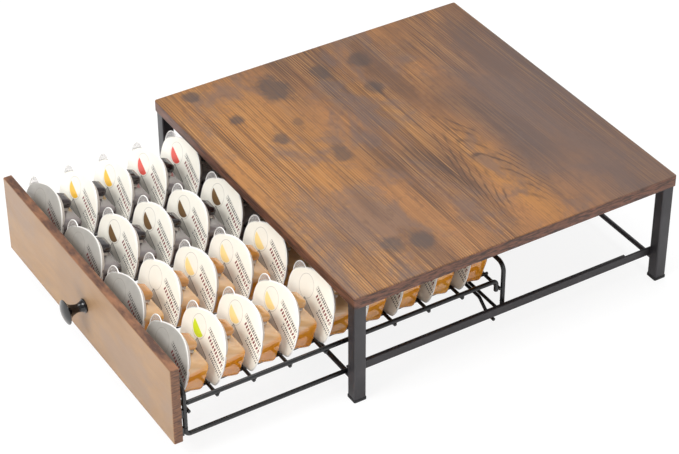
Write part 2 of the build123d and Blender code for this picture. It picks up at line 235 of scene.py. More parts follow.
def wood_material(name, tones, patch, knot, knots, seed, axis, edges, lines=1.0, figure=None,
                  hazes=(), glows=(), glow_tone=None, shades=()):
    """Rustic wood: fine straight lines along X, grey patches, knots and darker banded edges."""
    light, middle, dark, *line_tones = tones
    n = Nodes(name)
    place = n.coords()
    wobble = n.drawn_noise(place, (5, 13, 13), (seed, 0, 0))
    warped = n.vector("MULTIPLY_ADD", wobble, WARP, place)
    broad = n.drawn_noise(warped, (5, 15, 15), (seed, seed, 0), 6.0, 0.62, 0.3)
    bands = n.drawn_noise(warped, (2.2, 150, 150), (0, seed, 0), 3.0, 0.6)
    fine = n.drawn_noise(warped, (6, 680, 680), (0, 0, seed), 2.0, 0.6)
    cloud = n.drawn_noise(place, (10, 15, 15), (seed * 2, 0, 0), 8.0, 0.7, 0.4)
    speck = n.drawn_noise(place, (70, 190, 190), (0, seed, 0), 4.0, 0.7)
    streak = n.drawn_noise(place, (40, 90, 520), (seed, 0, 0), 3.0, 0.65)
    ragged = n.stretched(n.noise(place, 70.0, 4.0, 0.65), 1.2, -0.6)

    base = n.ramp(broad, (0.34, dark), (0.49, middle), (0.64, light))
    base = ellipses(n, base, place, glows, n.plus(broad, -0.5), glow_tone)
    base = n.layer(base, n.steps(bands, 0.5, 0.66), 0.22 * lines, dark)
    base = fine_grain(n, base, place, warped, fine, seed, axis, lines, line_tones)
    base = n.layer(base, n.steps(cloud, 0.47, 0.62), PATCH_DEPTH, patch)
    base = n.layer(base, n.steps(speck, 0.52, 0.66), 0.35 * lines, dark)
    base = ellipses(n, base, warped, shades, n.stretched(cloud, 3.0, -1.5), dark, SHADE_SHIFT)
    if figure:
        base = n.layer(base, arched_figure(n, warped, *figure), FIGURE_DEPTH, line_tones[1])
    base = ellipses(n, base, place, hazes, n.plus(cloud, -0.5), patch)
    base = ellipses(n, base, warped, knots, ragged, knot, KNOT_SHIFT, KNOT_DEPTH)
    edge = n.ramp(streak, (0.36, edges[1]), (0.62, edges[0]))
    base = n.mix(face_share(n, axis), edge, base)
    grain = n.plus(n.times(fine, 0.7), n.times(bands, 0.3))
    n.principled(
        Base_Color=base, Roughness=n.between(fine, 0.40, 0.62), Normal=n.bump(grain, 0.25, 0.0004)
    )
    return n.material


# Painted metal, plastic and steel
def paint_material(name, color, worn, roughness, grain_scale=900.0, bump=0.12):
    n = Nodes(name)
    place = n.coords()
    cloud = n.noise(place, 26.0, 4.0, 0.6)
    speck = n.noise(place, grain_scale, 2.0, 0.6)
    n.principled(
        Base_Color=n.mix(n.steps(cloud, 0.42, 0.75), color, worn),
        Roughness=n.between(cloud, roughness - 0.06, roughness + 0.08),
        Normal=n.bump(speck, bump, 0.0002),
    )
    return n.material


def steel_material():
    n = Nodes("zinc_steel")
    cloud = n.noise(n.coords(), 120.0)
    n.principled(
        Base_Color=n.mix(cloud, linear(150, 150, 152), linear(196, 196, 198)), Metallic=1.0,
        Roughness=n.steps(cloud, -0.6, 1.8), Normal=n.bump(cloud, 0.1, 0.0002),
    )
    return n.material


# Lid print in millimetres on the lid, taken from its UV map and tilted
LID_UV_SPAN = 0.1
LID_PRINT_SPAN = 1000 * LID_UV_SPAN
LID_TILT = radians(22)
LID_WHITES = (linear(248, 245, 235), linear(238, 233, 219))
DISC_MIDDLE = (14.0, 36.0)
DISC_RADIUS = 10.0
DISC_TOP = 27.5
DISC_SOFT = 0.3
# Low and high end along the print, then low and high end across it
PANEL = (-20, 2, 4, 19)
PANEL_HATCH = (-17, 0, 6, 13)
HATCH_PITCH, HATCH_FILL = 1.7, 0.42
PANEL_FRAME = (-20.6, 2.6, 3.4, 19.6)
LABEL_FRAME = (-15.5, 21.5, 38.2, 42.8)
# Pitch, filled share, middle and height of a row of marks, its two ends and its tone
MARK_ROWS = (
    (2.4, 0.60, 40.5, 3.4, -14, 20, linear(66, 62, 62)),
    (3.4, 0.60, 35.0, 3.8, -10, 25, linear(116, 38, 46)),
    (2.2, 0.55, 29.5, 2.4, 1, 28, linear(76, 71, 70)),
    (2.2, 0.55, 25.5, 2.4, 1, 28, linear(92, 86, 83)),
)


def band(n, value, low, high, soft=0.25):
    """One between low and high, with soft ends."""
    return n.times(n.steps(value, low - soft, low + soft), n.steps(value, high + soft, high - soft))


def box(n, plane, low_a, high_a, low_b, high_b):
    return n.times(band(n, plane[0], low_a, high_a), band(n, plane[1], low_b, high_b))


def outline(n, plane, ends, width):
    """The line round a box, inside its ends."""
    inner = [end + width * side for end, side in zip(ends, (1, -1, 1, -1))]
    return n.math("SUBTRACT", box(n, plane, *ends), box(n, plane, *inner))


def dashes(n, value, pitch, fill):
    return n.math("LESS_THAN", n.math("FRACT", n.math("DIVIDE", value, pitch)), fill)


def mark_row(n, uv, plane, pitch, fill, middle, height, low, high):
    """A row of short marks, with some left out."""
    gaps = n.math("GREATER_THAN", n.drawn_noise(uv, (60, 60, 1), (0, 0, 0), 1.0), 0.40)
    line = box(n, plane, low, high, middle - height / 2, middle + height / 2)
    return n.times(n.times(dashes(n, plane[0], pitch, fill), line), gaps)


def half_disc(n, color, u, v, across, accent, share):
    """A disc of the accent cut off at a line across the print, inside a thin ring."""
    squares = [n.math("POWER", n.plus(value, -middle), 2.0) for value, middle in zip((u, v), DISC_MIDDLE)]
    far = n.math("SQRT", n.plus(*squares))
    disc = n.steps(far, DISC_RADIUS + DISC_SOFT, DISC_RADIUS - DISC_SOFT)
    cut = n.steps(across, DISC_TOP + DISC_SOFT, DISC_TOP - DISC_SOFT)
    color = n.layer(color, n.times(disc, cut), share, accent)
    ring = band(n, far, DISC_RADIUS + 1.2, DISC_RADIUS + 1.7, 0.15)
    return n.layer(color, ring, 0.5, linear(120, 112, 104))


def lid_material(name, accent, accent_share=1.0, whites=LID_WHITES):
    """A pale lid with a half disc of the accent, a hatched panel, a label line and rows of marks."""
    n = Nodes(name)
    uv = n.coords("UV")
    axes = n.parts(uv)
    u, v = [n.stretched(axes[axis], LID_PRINT_SPAN, -LID_PRINT_SPAN / 2) for axis in ("X", "Y")]
    along = n.plus(n.times(u, -cos(LID_TILT)), n.times(v, -sin(LID_TILT)))
    across = n.plus(n.times(u, -sin(LID_TILT)), n.times(v, cos(LID_TILT)))
    plane = (along, across)
    cloud = n.drawn_noise(uv, (6, 6, 1))
    color = half_disc(n, n.mix(cloud, *whites), u, v, across, accent, accent_share)
    # The panel's grey-brown ground is painted shade, the shadow of the cup in front on the printed box;
    # its hatch and frames are print.
    color = n.layer(color, box(n, plane, *PANEL), 0.55, linear(140, 130, 120))
    hatch = n.times(dashes(n, along, HATCH_PITCH, HATCH_FILL), box(n, plane, *PANEL_HATCH))
    color = n.mix(hatch, color, linear(60, 52, 50))
    color = n.layer(color, outline(n, plane, PANEL_FRAME, 0.7), 0.9, linear(52, 46, 44))
    color = n.layer(color, outline(n, plane, LABEL_FRAME, 0.4), 0.7, linear(96, 90, 90))
    for *row, tone in MARK_ROWS:
        color = n.mix(mark_row(n, uv, plane, *row), color, tone)
    height = n.drawn_noise(uv, (40, 40, 1))
    n.principled(
        Base_Color=color, Roughness=n.steps(cloud, -1.2, 2.4), Normal=n.bump(height, 0.15, 0.0003),
        Coat_Weight=0.25,
    )
    return n.material


# Clear and drink-filled plastic
def clear_material(name, color, transmission, roughness):
    n = Nodes(name)
    cloud = n.noise(n.coords(), 60.0)
    tinge = tuple(0.5 + value / 2 for value in color)
    n.principled(
        Base_Color=n.mix(n.times(cloud, 0.3), color, tinge), Transmission_Weight=transmission,
        IOR=1.42, Roughness=n.stretched(cloud, 0.1, roughness), Normal=n.bump(cloud, 0.05, 0.0005),
    )
    return n.material


DRINK_LEVEL = 0.080
LEVEL_EDGE = 0.004


def drink_material(name, deep, pale, empty):
    """A cup filled with drink; empty is its colour above the level of the drink, if that shows."""
    n = Nodes(name)
    place = n.coords()
    cloud = n.noise(place, 26.0, 2.0, 0.5)
    base = n.mix(n.steps(cloud, 0.34, 0.70), deep, pale)
    if empty:
        level = n.stretched(cloud, 0.006, n.parts(place)["Z"])
        base = n.layer(base, n.steps(level, DRINK_LEVEL, DRINK_LEVEL + LEVEL_EDGE), 0.8, empty)
    n.principled(
        Base_Color=base, Transmission_Weight=0.3, IOR=1.4,
        Roughness=n.stretched(cloud, 0.1, 0.06), Normal=n.bump(cloud, 0.05, 0.001),
        Coat_Weight=1.0,
    )
    return n.material


# Capsule forms, in metres on the lid: u to the left, v up the lid and w back into the cup
LEAN = radians(20)
LID_POINTS = (
    (-0.029, 0.0), (0.028, 0.0), (0.037, 0.008), (0.0405, 0.022), (0.0415, 0.033),
    (0.0365, 0.0435), (0.012, 0.0550), (-0.006, 0.0575), (-0.020, 0.0535), (-0.0315, 0.041),
    (-0.0365, 0.023), (-0.036, 0.008),
)
LID_MIDDLE = Vector((0.0, 0.026))
TAB_MIDDLE = Vector((0.0300, 0.0415))
TAB_RADIUS = 0.0105
TAB_LIP = 0.0010
FLANGE_OUT = 0.0006
FOIL_IN = 0.0011
TRAY_IN = 0.0042
LOBE_END_STEPS = 5


def smooth_loop(points, rounds=3):
    """A closed outline with its corners cut off again and again."""
    loop = [Vector(p) for p in points]
    for _ in range(rounds):
        cut = []
        for here, after in zip(loop, loop[1:] + loop[:1]):
            cut += [here.lerp(after, 0.25), here.lerp(after, 0.75)]
        loop = cut
    return loop


def rounded_box(width, height, corner, cuts=7):
    """Corner arcs of a rectangle about its middle."""
    loop = []
    for turn, (sx, sy) in enumerate(((1, 1), (-1, 1), (-1, -1), (1, -1))):
        for k in range(cuts + 1):
            angle = (turn + k / cuts) * pi / 2
            x = sx * (width / 2 - corner) + corner * cos(angle)
            loop.append(Vector((x, sy * (height / 2 - corner) + corner * sin(angle))))
    return loop


class Form:
    """A mesh that is built from rings and then copied to every capsule of a column."""

    def __init__(self):
        self.points, self.faces, self.slots = [], [], []

    def add(self, face, slot):
        self.faces.append(tuple(face))
        self.slots.append(slot)

    def rings(self, rings, slot, caps=True):
        """Faces between (loop, depth) rings, and over the first and the last one with caps."""
        first = len(self.points)
        size = len(rings[0][0])
        for loop, depth in rings:
            self.points += [(p.x, p.y, depth) for p in loop]
        for r in range(len(rings) - 1):
            a, b = first + r * size, first + (r + 1) * size
            for k in range(size):
                m = (k + 1) % size
                self.add((a + k, a + m, b + m, b + k), slot)
        if caps:
            last = first + (len(rings) - 1) * size
            self.add(range(first + size - 1, first - 1, -1), slot)
            self.add(range(last, last + size), slot)


def scaled(loop, middle, change):
    """The loop moved inward from its own edge by about change."""
    reach = sum((p - middle).length for p in loop) / len(loop)
    return [middle + (p - middle) * (1 - change / reach) for p in loop]


def rim_rings(loop, middle, front, back, bevel):
    inner = scaled(loop, middle, bevel)
    return [(inner, front), (loop, front + bevel), (loop, back - bevel), (inner, back)]


def lobe_rings(middle, width, height, corner, depth, taper, end_round):
    """Rings of a pocket that tapers and ends round; each is cut inward, with a least corner."""
    straight = depth - end_round
    cuts = [(level, level * taper, 0.002) for level in (0.0, straight / 2, straight)]
    for k in range(1, LOBE_END_STEPS + 1):
        angle = k / LOBE_END_STEPS * pi / 2
        cut = straight * taper + end_round * (1 - cos(angle))
        cuts.append((straight + end_round * sin(angle), cut, 0.0015))
    rings = []
    for level, cut, least in cuts:
        loop = rounded_box(width - 2 * cut, height - 2 * cut, max(corner - cut, least))
        rings.append(([middle + p for p in loop], level))
    return rings


def lip_rings(outer, inner, front, back):
    """A raised lip between two loops."""
    crown = [a.lerp(b, 0.5) for a, b in zip(outer, inner)]
    middle = (front + back) / 2
    return [(outer, back), (outer, middle), (crown, front), (inner, middle), (inner, back)]


def ring_loop(middle, radius, count=32):
    turns = [2 * pi * k / count for k in range(count)]
    return [middle + radius * Vector((cos(turn), sin(turn))) for turn in turns]


# Lid: printed foil, frosted flange, and a clear tab with a frosted lip; front, back and bevel
PRINT, CLEAR, FROSTED = None, 0, 1
lid_loop = scaled(smooth_loop(LID_POINTS), LID_MIDDLE, -FLANGE_OUT)
foil_loop = scaled(lid_loop, LID_MIDDLE, FOIL_IN)
tab_loop = ring_loop(TAB_MIDDLE, TAB_RADIUS)
tab_hole = ring_loop(TAB_MIDDLE, TAB_RADIUS - TAB_LIP)
lid_form = Form()
lid_form.rings(rim_rings(foil_loop, LID_MIDDLE, -0.0012, -0.0007, 0.0002), PRINT)
lid_form.rings(rim_rings(lid_loop, LID_MIDDLE, -0.0007, 0.0, 0.0003), FROSTED)
lid_form.rings(rim_rings(tab_loop, TAB_MIDDLE, -0.0007, -0.0002, 0.0002), CLEAR)
lid_form.rings(lip_rings(tab_loop, tab_hole, -0.0011, -0.0003), FROSTED, caps=False)

# Cup: a shallow tray behind the lid, and two pockets with a bridge between them
DRINK, TRAY, SYRUP = 0, 1, 2
tray_loop = scaled(lid_loop, LID_MIDDLE, TRAY_IN)
tray_rings = [(tray_loop, 0.0)]
for change, depth in ((0.0006, 0.0042), (0.0022, 0.0058)):
    tray_rings.append((scaled(tray_loop, LID_MIDDLE, change), depth))
cup_form = Form()
cup_form.rings(tray_rings, TRAY)
# Middle, width, height, corner, depth, taper and rounding of the end
for slot, middle, *sizes in (
    (DRINK, Vector((0.0, 0.0218)), 0.061, 0.0325, 0.008, 0.0262, 0.07, 0.0035),
    (SYRUP, Vector((-0.0035, 0.0452)), 0.021, 0.0105, 0.0048, 0.0185, 0.04, 0.0035),
    (TRAY, Vector((-0.0040, 0.0390)), 0.016, 0.0036, 0.0016, 0.0170, 0.01, 0.0015),
):
    cup_form.rings(lobe_rings(middle, *sizes), slot)


def copied(name, form, places, materials, picks):
    """A mesh with a copy of the form at every place; picks gives each copy's print."""
    mesh = bpy.data.meshes.new(name)
    points, faces, slots = [], [], []
    for index, place in enumerate(places):
        first = len(points)
        for u, v, w in form.points:
            back = v * sin(LEAN) + w * cos(LEAN)
            points.append((place.x - u, place.y + back, place.z + v * cos(LEAN) - w * sin(LEAN)))
        for face, kind in zip(form.faces, form.slots):
            faces.append(tuple(first + k for k in face))
            slots.append(picks[index] if kind is None else kind)
    mesh.from_pydata(points, [], faces)
    layer = mesh.uv_layers.new(name="lid")
    size = len(form.points)
    for loop in mesh.loops:
        u, v, w = form.points[loop.vertex_index % size]
        layer.data[loop.index].uv = (0.5 + u / LID_UV_SPAN, 0.5 + v / LID_UV_SPAN)
    for material in materials:
        mesh.materials.append(material)
    for polygon, kind in zip(mesh.polygons, slots):
        polygon.material_index = kind
        polygon.use_smooth = True
    mesh.validate()
    return mesh


def capsule_group(name, form, places, materials, node, picks=None):
    """The lids or the cups of one column as one piece."""
    mesh = copied(name, form, places, materials, picks)
    piece = placed(name, mesh)
    bm = bmesh.new()
    bm.from_mesh(mesh)
    bmesh.ops.recalc_face_normals(bm, faces=bm.faces)
    bm.to_mesh(mesh)
    bm.free()
    mesh.set_sharp_from_angle(angle=radians(40))
    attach(piece, "drawer")
    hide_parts(node)
    return piece


PLAIN = linear(244, 240, 233)
# The grey whites of the front row's lids are painted shade; the lids themselves are as white as the
# others.
PAINTED_SHADE_WHITES = (linear(188, 186, 180), linear(160, 158, 153))
lid_prints = {
    "shaded": lid_material("lid_print_shaded", PLAIN, 0.0, PAINTED_SHADE_WHITES),
    "plain": lid_material("lid_print_plain", PLAIN, 0.0),
}
for tone, accent in (
    ("yellow", (246, 190, 30)), ("red", (226, 72, 56)), ("brown", (112, 84, 50)),
    ("amber", (250, 222, 150)), ("lime", (206, 222, 40)),
):
    lid_prints[tone] = lid_material("lid_print_" + tone, linear(*accent))
clear_rim = clear_material("clear_rim", linear(232, 229, 226), 0.75, 0.06)
frosted_rim = clear_material("frosted_rim", linear(246, 244, 240), 0.15, 0.2)
frosted_tray = clear_material("frosted_tray", linear(226, 214, 204), 0.35, 0.16)
amber_drink = drink_material(
    "amber_drink", linear(218, 136, 28), linear(236, 168, 66), linear(228, 190, 146)
)
amber_syrup = drink_material("amber_syrup", linear(200, 134, 58), linear(222, 172, 112), None)
dark_drink = drink_material("dark_drink", linear(50, 40, 42), linear(86, 68, 70), linear(150, 142, 142))
dark_syrup = drink_material("dark_syrup", linear(30, 18, 20), linear(50, 32, 32), None)
DARK_CUPS = (dark_drink, dark_syrup, "smoke_cup")
AMBER_CUPS = (amber_drink, amber_syrup, "amber_cup")
# Each column from left to right: its cups, then its lids from the front to the back
columns = (
    (DARK_CUPS, ("shaded", "yellow", "yellow", "red", "red", "plain")),
    (DARK_CUPS, ("shaded", "brown", "brown", "brown", "brown", "plain")),
    (AMBER_CUPS, ("shaded", "plain", "amber", "amber", "amber", "amber")),
    (AMBER_CUPS, ("shaded", "lime", "amber", "amber", "plain", "plain", "amber", "plain", "amber")),
)

# Capsule places from the floor wires and the row wires
THIN_RADIUS = (row_high.z - row_low.z) / 2
FLOOR_WIRE_SPACING = 0.040
FLOOR_RADIUS = (floor_high.z - floor_low.z) / 2
ROW_WIRES = 8
SEAT_GAP = 0.0003
SET_BACK = 0.0029
column_start = floor_low.x + FLOOR_RADIUS + FLOOR_WIRE_SPACING / 2
column_pitch = -2 * column_start / (len(columns) - 1)
row_pitch = (row_high.y - row_low.y - 2 * THIN_RADIUS) / (ROW_WIRES - 1)
first_lid_y = row_low.y + THIN_RADIUS - row_pitch + SET_BACK
lid_foot_z = floor_high.z + SEAT_GAP

print_names = list(lid_prints)
for column, ((drink, syrup, slot), prints) in enumerate(columns):
    x = column_start + column * column_pitch
    ys = [first_lid_y + row * row_pitch for row in range(len(prints))]
    places = [Vector((x, y, lid_foot_z)) for y in ys]
    number = str(column + 1)
    capsule_group(
        "lids_" + number, lid_form, places, [clear_rim, frosted_rim, *lid_prints.values()],
        "capsule_lids_column_" + number,
        [print_names.index(name) + 2 for name in prints],
    )
    capsule_group(
        "cups_" + number, cup_form, places, [drink, frosted_tray, syrup],
        "capsule_cups_column_" + number,
    )


# Round wires
def turned_path(corners, bend, cuts=8):
    """The corners of a flat path, with an arc of the given radius at each inner one."""
    points = [Vector(corners[0])]
    for before, corner, after in zip(corners, corners[1:], corners[2:]):
        corner = Vector(corner)
        back = (Vector(before) - corner).normalized()
        ahead = (Vector(after) - corner).normalized()
        half = back.angle(ahead) / 2
        reach = bend / sin(half)
        centre = corner + (back + ahead).normalized() * reach
        first = (corner + back * (reach * cos(half)) - centre).normalized()
        last = (corner + ahead * (reach * cos(half)) - centre).normalized()
        for k in range(cuts + 1):
            points.append(centre + first.slerp(last, k / cuts).normalized() * bend)
    points.append(Vector(corners[-1]))
    return points


def circle(bm, middle, reach, across, other, sides):
    """New points round the middle."""
    turns = [2 * pi * k / sides for k in range(sides)]
    return [bm.verts.new(middle + reach * (cos(turn) * across + sin(turn) * other)) for turn in turns]


def join_rings(bm, rings):
    """Faces between rings that follow each other; a ring may be one point over and over."""
    for a, b in zip(rings, rings[1:]):
        for k in range(len(a)):
            m = (k + 1) % len(a)
            corners = list(dict.fromkeys((a[k], a[m], b[m], b[k])))
            if len(corners) > 2:
                bm.faces.new(corners)


def add_tube(bm, points, radius, flat, sides=20):
    """A round bar along a flat path, with softened ends; flat is the normal of the path's plane."""
    flat = Vector(flat)
    soft = radius * 0.3
    first = (points[1] - points[0]).normalized()
    last = (points[-1] - points[-2]).normalized()
    path = [(points[0], first, radius - soft), (points[0] + first * soft, first, radius)]
    for before, here, after in zip(points, points[1:], points[2:]):
        path.append((here, (after - before).normalized(), radius))
    path += [(points[-1] - last * soft, last, radius), (points[-1], last, radius - soft)]
    rings = [circle(bm, place, reach, flat, ahead.cross(flat), sides) for place, ahead, reach in path]
    join_rings(bm, rings)
    bm.faces.new(rings[0])
    bm.faces.new(rings[-1][::-1])


BEAD_UNEVEN = 0.12


def add_bead(bm, place, size, stretch, seed):
    """A weld bead: an uneven drop."""
    middle = Vector(place)
    turned = Matrix.Translation(middle) @ Matrix.Rotation(seed, 4, "Z") @ Matrix.Diagonal((*stretch, 1))
    made = bmesh.ops.create_icosphere(bm, subdivisions=2, radius=size, matrix=turned)
    for vertex in made["verts"]:
        away = vertex.co - middle
        uneven = BEAD_UNEVEN * sin(900 * away.x + 7 * seed) * cos(700 * away.z + seed)
        vertex.co = middle + away * (1 + uneven)


def piece_from(bm, name, body, material, slot, *nodes, sharp=40):
    mesh = bpy.data.meshes.new(name)
    bmesh.ops.recalc_face_normals(bm, faces=bm.faces)
    bm.to_mesh(mesh)
    bm.free()
    for polygon in mesh.polygons:
        polygon.use_smooth = True
    mesh.set_sharp_from_angle(angle=radians(sharp))
    mesh.materials.append(material)
    piece = placed(name, mesh)
    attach(piece, body)
    if nodes:
        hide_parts(*nodes)
    return piece


black_paint = paint_material("black_wire_paint", linear(9, 9, 11), linear(24, 23, 26), 0.27)
charcoal_paint = paint_material("charcoal_paint", linear(37, 34, 37), linear(52, 48, 52), 0.38)
foot_plastic = paint_material("foot_plastic", linear(18, 18, 19), linear(30, 30, 31), 0.6, 400.0, 0.3)
knob_lacquer = paint_material("knob_lacquer", linear(10, 10, 12), linear(16, 16, 19), 0.16, 1400.0, 0.03)
zinc = steel_material()

ACROSS = (0, 1, 0)
ALONG = (1, 0, 0)


def wire(node, corners, radius, bend, flat):
    bm = bmesh.new()
    add_tube(bm, turned_path(corners, bend), radius, flat)
    return piece_from(bm, node + "_round", "drawer", black_paint, "black_wire", node)


def straight_wires(node, places, start, end, radius, flat, direction, cuts=6):
    """Parallel wires of one node; each place is where the wire passes in the other two axes."""
    bm = bmesh.new()
    for place in places:
        first, last = Vector(place), Vector(place)
        first[direction], last[direction] = start, end
        add_tube(bm, [first.lerp(last, k / cuts) for k in range(cuts + 1)], radius, flat)
    return piece_from(bm, node + "_round", "drawer", black_paint, "black_wire", node)


HOOP_BEND = 0.009
RUNNER_BEND = 0.005
SIDE_BEND = 0.004
STOP_BEND = 0.005
STOP_KNEE = 0.163
STOP_SLOPE = 0.014
runner_low, runner_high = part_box("runner_left")
frame_radius = (runner_high.x - runner_low.x) / 2
frame_x = -(runner_low.x + runner_high.x) / 2
runner_z = runner_low.z + frame_radius
post_foot_z = runner_high.z
front_post_y = runner_low.y + frame_radius
rear_post_y = runner_high.y - frame_radius
for node, side in (("runner_left", -1), ("runner_right", 1)):
    x = side * frame_x
    corners = (
        (x, front_post_y, post_foot_z), (x, front_post_y, runner_z),
        (x, rear_post_y, runner_z), (x, rear_post_y, post_foot_z),
    )
    wire(node, corners, frame_radius, RUNNER_BEND, ALONG)
for node, y in (("front_hoop", front_post_y), ("rear_hoop", rear_post_y)):
    top_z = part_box(node)[1].z - frame_radius
    corners = (
        (-frame_x, y, post_foot_z), (-frame_x, y, top_z), (frame_x, y, top_z),
        (frame_x, y, post_foot_z),
    )
    wire(node, corners, frame_radius, HOOP_BEND, ACROSS)
side_low, side_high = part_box("side_wire_left")
side_z = side_high.z - frame_radius
side_back_y = side_high.y - frame_radius
for node, side in (("side_wire_left", -1), ("side_wire_right", 1)):
    x = side * frame_x
    corners = ((x, side_low.y, side_z), (x, side_back_y, side_z), (x, side_back_y, side_low.z))
    wire(node, corners, frame_radius, SIDE_BEND, ALONG)
stop_low, stop_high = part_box("stop_wire")
stop_y = (stop_low.y + stop_high.y) / 2
stop_bottom = stop_low.z + THIN_RADIUS
stop_top = stop_high.z - THIN_RADIUS
stop_corners = (
    (stop_low.x, stop_y, stop_bottom), (-STOP_KNEE, stop_y, stop_bottom),
    (STOP_SLOPE - STOP_KNEE, stop_y, stop_top), (STOP_KNEE - STOP_SLOPE, stop_y, stop_top),
    (STOP_KNEE, stop_y, stop_bottom), (stop_high.x, stop_y, stop_bottom),
)
wire("stop_wire", stop_corners, THIN_RADIUS, STOP_BEND, ACROSS)
row_z = (row_low.z + row_high.z) / 2
row_ys = [row_low.y + THIN_RADIUS + k * row_pitch for k in range(ROW_WIRES)]
row_places = [(0, y, row_z) for y in row_ys]
straight_wires("row_wires", row_places, row_low.x, row_high.x, THIN_RADIUS, ACROSS, 0)
for node in ("front_middle_wire", "rear_middle_wire", "rear_lower_wire"):
    low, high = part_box(node)
    straight_wires(node, [(low + high) / 2], low.x, high.x, THIN_RADIUS, ACROSS, 0)
floor_z = (floor_low.z + floor_high.z) / 2
floor_xs = [
    column_start + column * column_pitch + side * FLOOR_WIRE_SPACING / 2
    for column in range(len(columns)) for side in (-1, 1)
]
floor_places = [(x, 0, floor_z) for x in floor_xs]
straight_wires("floor_wires", floor_places, floor_low.y, floor_high.y, FLOOR_RADIUS, ALONG, 1)


# Weld beads where the wires cross, and round the cross bars
WIRE_BEAD = 0.0012
POST_BEAD = 1.12 * frame_radius
STAND_BEAD = 0.0008
STAND_BEADS = 14
CROSS_BARS = ("front_cross_bar", "rear_cross_bar")


def basket_beads():
    bm = bmesh.new()
    for side in (-1, 1):
        x = side * frame_x
        for y in row_ys:
            for end in (-1, 1):
                place = (x, y + end * 0.0013, row_z + WIRE_BEAD)
                add_bead(bm, place, WIRE_BEAD, (1.4, 0.8, 0.7), y * 90 + side)
        for y in (front_post_y, rear_post_y):
            add_bead(bm, (x, y, post_foot_z), POST_BEAD, (1, 1, 0.35), y * 40 + side)
    for name in ("front_middle_wire", "rear_middle_wire"):
        low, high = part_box(name)
        for x in floor_xs:
            for end in (-1, 1):
                place = (x + end * 0.0012, (low.y + high.y) / 2, high.z)
                add_bead(bm, place, WIRE_BEAD * 0.8, (0.8, 1.3, 0.6), x * 80 + end)
    piece_from(bm, "basket_welds", "drawer", black_paint, "black_wire")


def stand_beads():
    bm = bmesh.new()
    for node in CROSS_BARS:
        low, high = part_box(node)
        radius = (high.z - low.z) / 2
        y, z = (low.y + high.y) / 2, (low.z + high.z) / 2
        for x, inward in ((low.x, 1), (high.x, -1)):
            for k in range(STAND_BEADS):
                turn = 2 * pi * k / STAND_BEADS
                place = (x + inward * 0.0002, y + radius * cos(turn), z + radius * sin(turn))
                add_bead(bm, place, STAND_BEAD, (0.9, 1, 1), k * 1.3)
    piece_from(bm, "stand_welds", "stand", charcoal_paint, "charcoal_steel")


basket_beads()
stand_beads()
for node in CROSS_BARS:
    low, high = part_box(node)
    middle = (low + high) / 2
    bm = bmesh.new()
    ends = [Vector((x, middle.y, middle.z)) for x in (low.x, low.x / 2, 0, high.x / 2, high.x)]
    add_tube(bm, ends, (high.z - low.z) / 2, ACROSS, 28)
    piece_from(bm, node + "_round", "stand", charcoal_paint, "charcoal_steel", node)


# Pieces taken from the CAD shape with softened edges
def softened(node, body, material, slot, width):
    bm = bmesh.new()
    bm.from_mesh(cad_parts[node].data)
    bmesh.ops.remove_doubles(bm, verts=bm.verts, dist=0.00001)
    bmesh.ops.dissolve_limit(bm, angle_limit=radians(1), verts=bm.verts, edges=bm.edges)
    piece = piece_from(bm, node + "_soft", body, material, slot, node, sharp=60)
    bevel = piece.modifiers.new("soft_edges", "BEVEL")
    bevel.width = width
    bevel.segments = 3
    bevel.limit_method = "ANGLE"
    bevel.angle_limit = radians(42)
    bevel.harden_normals = True
    return piece


# Marks on the board: x, y, half length, half width and strength
BOARD_KNOTS = (
    (-0.146, 0.027, 0.028, 0.017, 0.85), (-0.174, -0.050, 0.010, 0.010, 0.8),
    (-0.114, -0.032, 0.009, 0.009, 0.85), (-0.080, 0.019, 0.008, 0.006, 0.5),
    (-0.061, -0.010, 0.011, 0.008, 0.75), (-0.010, 0.026, 0.016, 0.010, 0.75),
    (-0.146, 0.084, 0.014, 0.011, 0.7), (-0.146, 0.130, 0.016, 0.012, 0.7),
    (-0.093, 0.115, 0.014, 0.010, 0.7), (0.148, 0.015, 0.016, 0.012, 0.7),
    (0.139, -0.010, 0.014, 0.010, 0.7),
)
BOARD_GLOWS = (
    (0.0, -0.045, 0.24, 0.09, 0.6), (0.10, 0.145, 0.11, 0.024, 0.6),
    (-0.05, 0.105, 0.09, 0.012, 0.4),
)
BOARD_SHADES = (
    (-0.11, 0.141, 0.085, 0.014, 0.7), (-0.08, 0.246, 0.07, 0.013, 0.7),
    (0.15, 0.012, 0.045, 0.018, 0.5), (0.08, 0.004, 0.05, 0.012, 0.45),
    (0.118, -0.045, 0.05, 0.014, 0.4), (0.06, 0.205, 0.06, 0.008, 0.5),
)
BOARD_HAZES = ((0.08, 0.27, 0.24, 0.11, 0.65),)
FRONT_KNOTS = ((-0.03, -0.26, 0.03, 0.02, 0.3),)
# Start of the arches, their length, spread and number to a metre
BOARD_FIGURE = (-0.027, 0.141, 0.21, 0.011, 40)
# Light, middle and dark ground, light and dark lines
BOARD_TONES = (
    linear(152, 102, 56), linear(124, 84, 51), linear(84, 58, 42), linear(180, 136, 84),
    linear(46, 28, 20),
)
FRONT_TONES = (
    linear(166, 132, 96), linear(154, 121, 88), linear(138, 108, 80), linear(176, 142, 104),
    linear(112, 86, 64),
)
top_wood = wood_material(
    "board_wood", BOARD_TONES, linear(92, 75, 69), linear(54, 48, 48), BOARD_KNOTS,
    3.7, "Z", (linear(112, 70, 50), linear(50, 28, 20)), figure=BOARD_FIGURE, hazes=BOARD_HAZES,
    glows=BOARD_GLOWS, glow_tone=linear(170, 114, 50), shades=BOARD_SHADES,
)
front_wood = wood_material(
    "front_wood", FRONT_TONES, linear(142, 119, 101), linear(122, 100, 84), FRONT_KNOTS,
    8.2, "Y", (linear(132, 88, 58), linear(70, 42, 28)), lines=0.3,
)
softened("top_board", "stand", top_wood, "mango_wood", 0.0003)
softened("drawer_front", "drawer", front_wood, "mango_wood", 0.0003)
for node in ("leg_front_left", "leg_front_right", "leg_rear_left", "leg_rear_right"):
    softened(node, "stand", charcoal_paint, "charcoal_steel", 0.0002)
